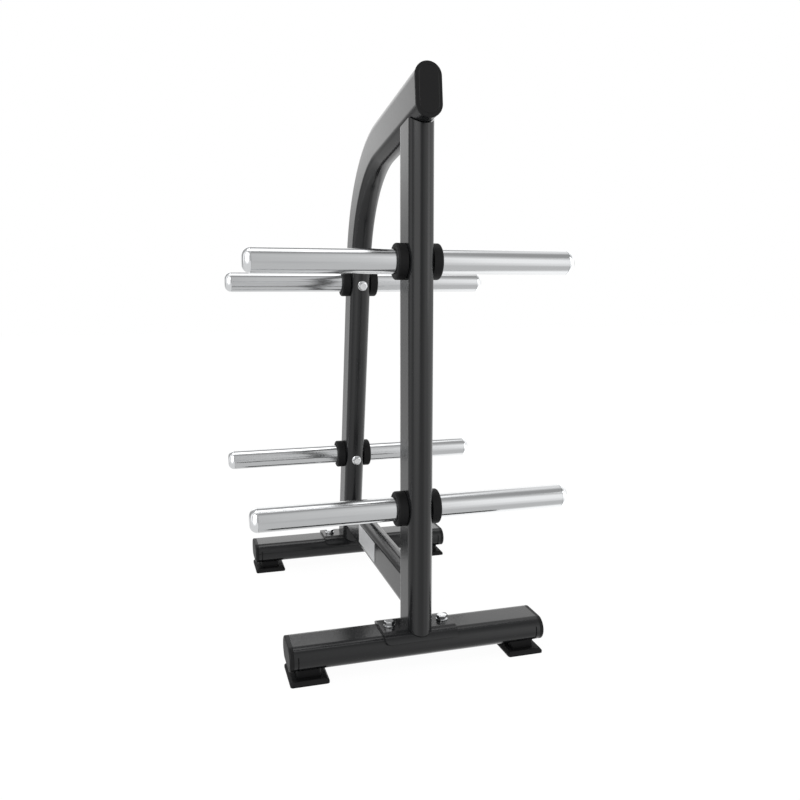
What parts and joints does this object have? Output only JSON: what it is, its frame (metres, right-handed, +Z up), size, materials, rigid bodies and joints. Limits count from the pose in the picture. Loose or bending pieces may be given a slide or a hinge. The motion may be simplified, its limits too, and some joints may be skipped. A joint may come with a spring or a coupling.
{
  "type": "plate tree",
  "caption": "Free-standing weight plate rack: bent flat-oval tube frame on two feet, crosswise chromed storage bars with rubber collars, bolted saddle plates and rubber pads.",
  "frame": {"origin": "on the floor under the middle of the rack's bounding box", "axes": "+X to the right along the storage bars, +Y from the front upright to the rear leg, +Z up"},
  "size_m": [0.67, 0.769, 1.1761],
  "materials": {
    "frame_paint": "satin dark graphite powder coat",
    "bar_chrome": "polished chrome plate",
    "zinc_fasteners": "bright zinc plate",
    "collar_rubber": "matt black moulded rubber",
    "pad_rubber": "matt black moulded rubber",
    "black_plastic": "fine-grained black plastic",
    "name_plate": "bare satin plate, unprinted"
  },
  "bodies": {
    "root": {"bent_beam": "frame_paint", "front_upright": "frame_paint", "cross_member": "frame_paint", "front_foot": "frame_paint", "rear_foot": "frame_paint", "front_saddle_plate": "frame_paint", "rear_saddle_plate": "frame_paint", "blank_name_plate": "name_plate", "beam_end_cap": "black_plastic", "front_left_foot_end_cap": "black_plastic", "front_right_foot_end_cap": "black_plastic", "rear_left_foot_end_cap": "black_plastic", "rear_right_foot_end_cap": "black_plastic", "front_left_foot_pad": "pad_rubber", "front_right_foot_pad": "pad_rubber", "rear_left_foot_pad": "pad_rubber", "rear_right_foot_pad": "pad_rubber", "front_left_saddle_bolt": "zinc_fasteners", "front_right_saddle_bolt": "zinc_fasteners", "rear_left_saddle_bolt": "zinc_fasteners", "rear_right_saddle_bolt": "zinc_fasteners", "front_left_saddle_washer": "zinc_fasteners", "front_right_saddle_washer": "zinc_fasteners", "rear_left_saddle_washer": "zinc_fasteners", "rear_right_saddle_washer": "zinc_fasteners", "front_left_weld_nut": "zinc_fasteners", "front_right_weld_nut": "zinc_fasteners", "rear_left_weld_nut": "zinc_fasteners", "rear_right_weld_nut": "zinc_fasteners", "upper_front_bar": "bar_chrome", "lower_front_bar": "bar_chrome", "upper_rear_bar": "bar_chrome", "lower_rear_bar": "bar_chrome", "upper_front_left_bar_plug": "bar_chrome", "upper_front_right_bar_plug": "bar_chrome", "lower_front_left_bar_plug": "bar_chrome", "lower_front_right_bar_plug": "bar_chrome", "upper_rear_left_bar_plug": "bar_chrome", "upper_rear_right_bar_plug": "bar_chrome", "lower_rear_left_bar_plug": "bar_chrome", "lower_rear_right_bar_plug": "bar_chrome", "upper_front_left_collar": "collar_rubber", "upper_front_right_collar": "collar_rubber", "lower_front_left_collar": "collar_rubber", "lower_front_right_collar": "collar_rubber", "upper_rear_left_collar": "collar_rubber", "upper_rear_right_collar": "collar_rubber", "lower_rear_left_collar": "collar_rubber", "lower_rear_right_collar": "collar_rubber", "upper_front_set_bolt": "zinc_fasteners", "lower_front_set_bolt": "zinc_fasteners", "upper_rear_set_bolt": "zinc_fasteners", "lower_rear_set_bolt": "zinc_fasteners", "upper_front_set_bolt_washer": "zinc_fasteners", "lower_front_set_bolt_washer": "zinc_fasteners", "upper_rear_set_bolt_washer": "zinc_fasteners", "lower_rear_set_bolt_washer": "zinc_fasteners"}
  },
  "joints": []
}
